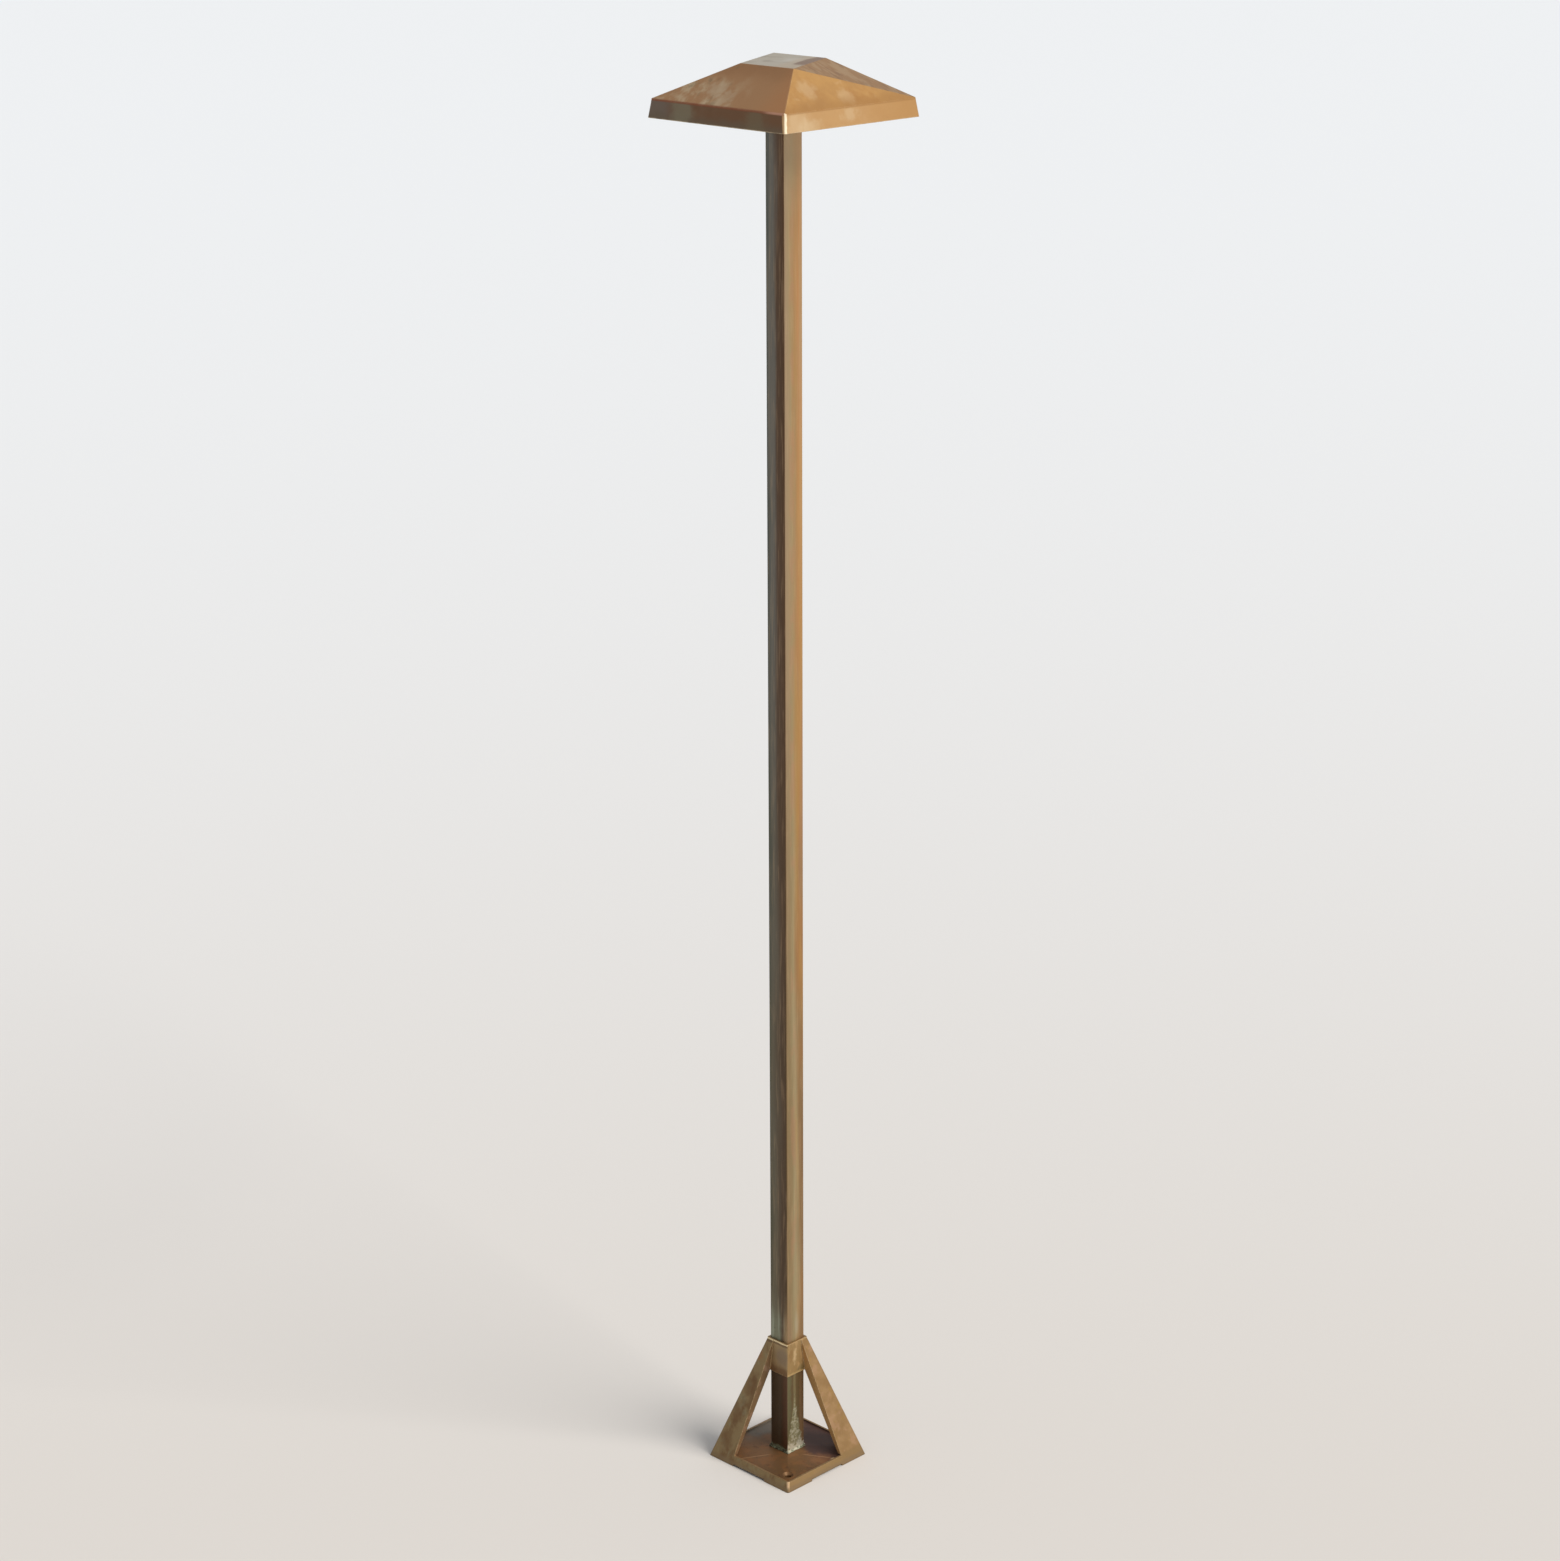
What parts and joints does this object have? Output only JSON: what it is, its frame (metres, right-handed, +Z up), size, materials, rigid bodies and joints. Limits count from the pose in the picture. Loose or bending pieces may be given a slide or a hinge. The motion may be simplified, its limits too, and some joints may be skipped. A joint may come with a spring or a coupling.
{
  "type": "path light",
  "caption": "Tall garden path light: square stem on a footed square base with two inclined legs, and a low pyramidal hat that lifts off for service.",
  "frame": {"origin": "on the ground under the middle of the stem and of the square plate", "axes": "+Z up along the stem; X and Y square to the plate's sides; the legs rise from the (-X, -Y) and (+X, +Y) corners and the fixing holes are in the other two"},
  "size_m": [0.146, 0.146, 1.173],
  "materials": {
    "cast_brass_base": "cast, aged",
    "cast_brass_hat": "cast, burnished and aged",
    "drawn_brass": "drawn, aged",
    "braze_verdigris": "verdigris",
    "bright_brass": "machined",
    "knurled_brass": "knurled",
    "stainless_steel": "machined",
    "sheet_aluminium": "mill",
    "black_rubber": "matte",
    "silicone": "matte",
    "lead_sheath": "satin",
    "core_insulation": "satin",
    "black_nylon": "moulded",
    "white_nylon": "moulded",
    "board_white": "solder mask",
    "chip_yellow": "phosphor",
    "driver_case": "potted",
    "frosted_acrylic": "frosted"
  },
  "bodies": {
    "base": {"base_casting": "cast_brass_base", "stem_tube": "drawn_brass", "foot_braze": "braze_verdigris", "collar_grub_screws": "stainless_steel", "cable_grommet": "black_rubber", "supply_lead": "lead_sheath", "supply_cores": "core_insulation", "stem_head_plug": "black_nylon", "lead_socket": "white_nylon", "socket_contacts": "bright_brass"},
    "hat": {"hat_casting": "cast_brass_hat", "heat_spreader": "sheet_aluminium", "led_board": "board_white", "led_chips": "chip_yellow", "board_screws": "stainless_steel", "led_driver": "driver_case", "board_leads": "core_insulation", "hat_plug": "white_nylon", "plug_blades": "bright_brass", "plug_leads": "core_insulation", "diffuser": "frosted_acrylic", "skirt_gasket": "silicone", "socket_gasket": "silicone", "diffuser_screws": "stainless_steel"},
    "stud_back": {"thumb_stud_back": "stainless_steel"},
    "knob_back": {"thumb_knob_back": "knurled_brass"},
    "stud_left": {"thumb_stud_left": "stainless_steel"},
    "knob_left": {"thumb_knob_left": "knurled_brass"}
  },
  "joints": [
    {"name": "hat_lift", "type": "slide", "parent": "base", "child": "hat", "axis": [0, 0, 1], "range_m": [0, 0.06]},
    {"name": "stud_back_advance", "type": "slide", "parent": "hat", "child": "stud_back", "axis": [0, 1, 0], "range_m": [0, 0.0021]},
    {"name": "knob_back_turn", "type": "hinge", "parent": "stud_back", "child": "knob_back", "pos_m": [0, 0.019, 1.127], "axis": [0, 1, 0], "range_deg": [0, 1080]},
    {"name": "stud_left_advance", "type": "slide", "parent": "hat", "child": "stud_left", "axis": [-1, 0, 0], "range_m": [0, 0.0021]},
    {"name": "knob_left_turn", "type": "hinge", "parent": "stud_left", "child": "knob_left", "pos_m": [-0.019, 0, 1.127], "axis": [-1, 0, 0], "range_deg": [0, 1080]}
  ],
  "couplings": [
    {"joint": "knob_back_turn", "follows": "stud_back_advance", "rad_per_m": 8976},
    {"joint": "knob_left_turn", "follows": "stud_left_advance", "rad_per_m": 8976}
  ]
}
